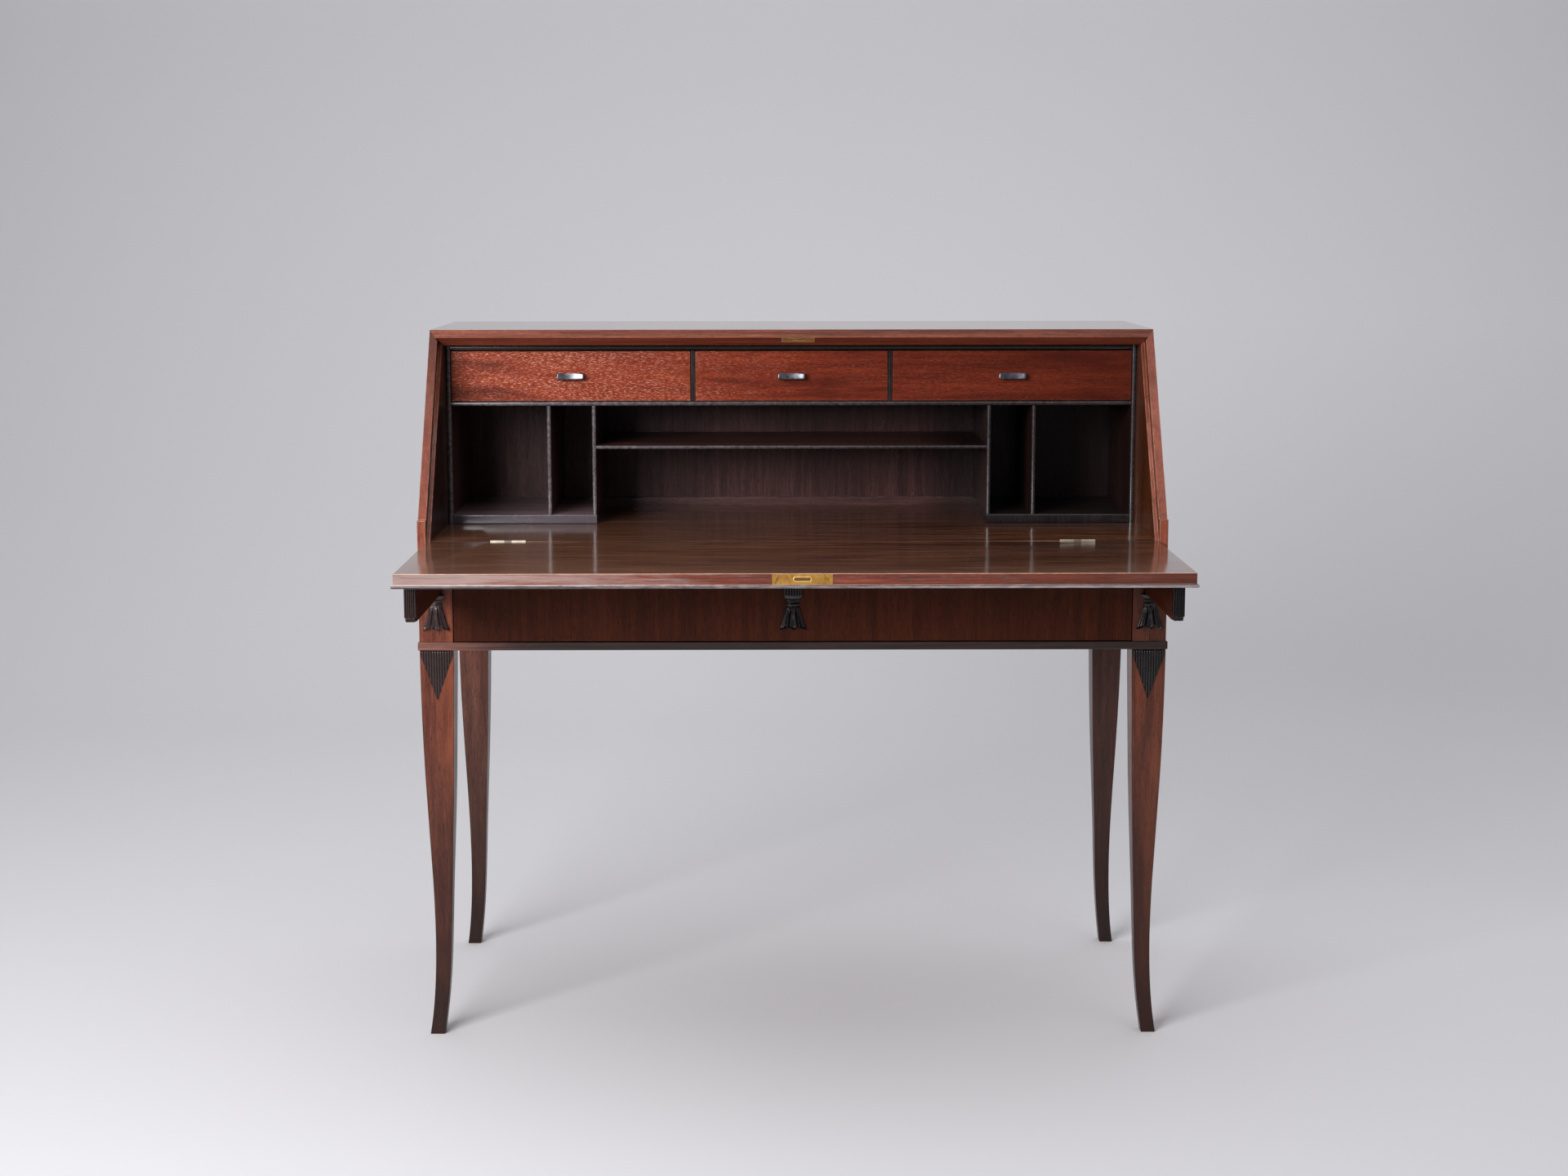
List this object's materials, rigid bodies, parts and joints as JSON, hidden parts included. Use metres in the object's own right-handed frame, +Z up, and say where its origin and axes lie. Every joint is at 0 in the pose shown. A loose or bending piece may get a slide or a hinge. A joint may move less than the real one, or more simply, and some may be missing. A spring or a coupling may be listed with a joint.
{
  "type": "slant-front writing desk",
  "caption": "Slant-front desk on sabre legs with a hinged fall on pull-out lopers, a frieze drawer, and pigeonholes with small drawers behind the fall.",
  "frame": {"origin": "on the floor, under the middle of the desk's rest box with its fall open", "axes": "+Z up, +X along the width to the sitter's right, +Y from the sitter's side to the back"},
  "size_m": [1.1044, 0.829, 1.05],
  "materials": {
    "mahogany": "satin french polish",
    "mahogany_fall": "polished, worn",
    "mahogany_frieze": "satin",
    "mahogany_drawers": "satin, open pores",
    "mahogany_inside": "dull",
    "ebonised": "polished black",
    "brown_oak": "plain",
    "brass": "aged",
    "steel": "worn bright"
  },
  "bodies": {
    "frame": {"leg_front_left": "mahogany", "leg_front_right": "mahogany", "leg_back_left": "mahogany", "leg_back_right": "mahogany", "leg_reeds_left": "ebonised", "leg_reeds_right": "ebonised", "frieze_side_left": "mahogany", "frieze_side_right": "mahogany", "frieze_back": "brown_oak", "bottom_rail_front": "mahogany_frieze", "bottom_rail_back": "brown_oak", "drawer_runners": "brown_oak", "moulding_front": "mahogany_frieze", "moulding_sides": "mahogany", "loper_guide_left": "brown_oak", "loper_guide_right": "brown_oak", "writing_bed": "mahogany_fall", "case_side_left": "mahogany", "case_side_right": "mahogany", "case_top": "mahogany", "case_back": "mahogany_inside", "unit_side_left": "ebonised", "unit_side_right": "ebonised", "unit_top": "ebonised", "drawer_shelf": "ebonised", "pigeonhole_base_left": "ebonised", "pigeonhole_base_right": "ebonised", "partitions_left": "mahogany_inside", "partitions_right": "mahogany_inside", "centre_shelf": "mahogany_inside", "drawer_dividers": "ebonised", "post_tassel_left": "ebonised", "post_tassel_right": "ebonised", "strike_plate": "brass", "strike_screws": "brass", "hinge_bed_leaves": "steel", "hinge_pins": "steel"},
    "fall": {"fall_board": "mahogany_fall", "hinge_fall_leaves": "steel", "lock_plate": "brass", "lock_case": "steel", "lock_screws": "brass", "keyhole_escutcheon": "brass"},
    "lock_bolt": {"lock_bolt": "brass"},
    "loper_left": {"loper_left": "brown_oak", "loper_cap_left": "ebonised"},
    "loper_right": {"loper_right": "brown_oak", "loper_cap_right": "ebonised"},
    "frieze_drawer": {"frieze_drawer_front": "mahogany_frieze", "frieze_drawer_box": "brown_oak", "frieze_drawer_tassel": "ebonised"},
    "drawer_left": {"drawer_left_front": "mahogany_drawers", "drawer_left_box": "brown_oak", "drawer_left_pull": "ebonised"},
    "drawer_centre": {"drawer_centre_front": "mahogany_drawers", "drawer_centre_box": "brown_oak", "drawer_centre_pull": "ebonised"},
    "drawer_right": {"drawer_right_front": "mahogany_drawers", "drawer_right_box": "brown_oak", "drawer_right_pull": "ebonised"}
  },
  "joints": [
    {"name": "fall_hinge", "type": "hinge", "parent": "frame", "child": "fall", "pos_m": [0, -0.07754, 0.748], "axis": [-1, 0, 0], "range_deg": [0, 122.5]},
    {"name": "lock_bolt_slide", "type": "slide", "parent": "fall", "child": "lock_bolt", "axis": [0, -1, 0], "range_m": [0, 0.008]},
    {"name": "loper_left_slide", "type": "slide", "parent": "frame", "child": "loper_left", "axis": [0, 1, 0], "range_m": [0, 0.248]},
    {"name": "loper_right_slide", "type": "slide", "parent": "frame", "child": "loper_right", "axis": [0, 1, 0], "range_m": [0, 0.248]},
    {"name": "frieze_drawer_slide", "type": "slide", "parent": "frame", "child": "frieze_drawer", "axis": [0, -1, 0], "range_m": [0, 0.3]},
    {"name": "drawer_left_slide", "type": "slide", "parent": "frame", "child": "drawer_left", "axis": [0, 1, 0], "range_m": [-0.18, 0]},
    {"name": "drawer_centre_slide", "type": "slide", "parent": "frame", "child": "drawer_centre", "axis": [0, 1, 0], "range_m": [-0.18, 0]},
    {"name": "drawer_right_slide", "type": "slide", "parent": "frame", "child": "drawer_right", "axis": [0, 1, 0], "range_m": [-0.18, 0]}
  ]
}
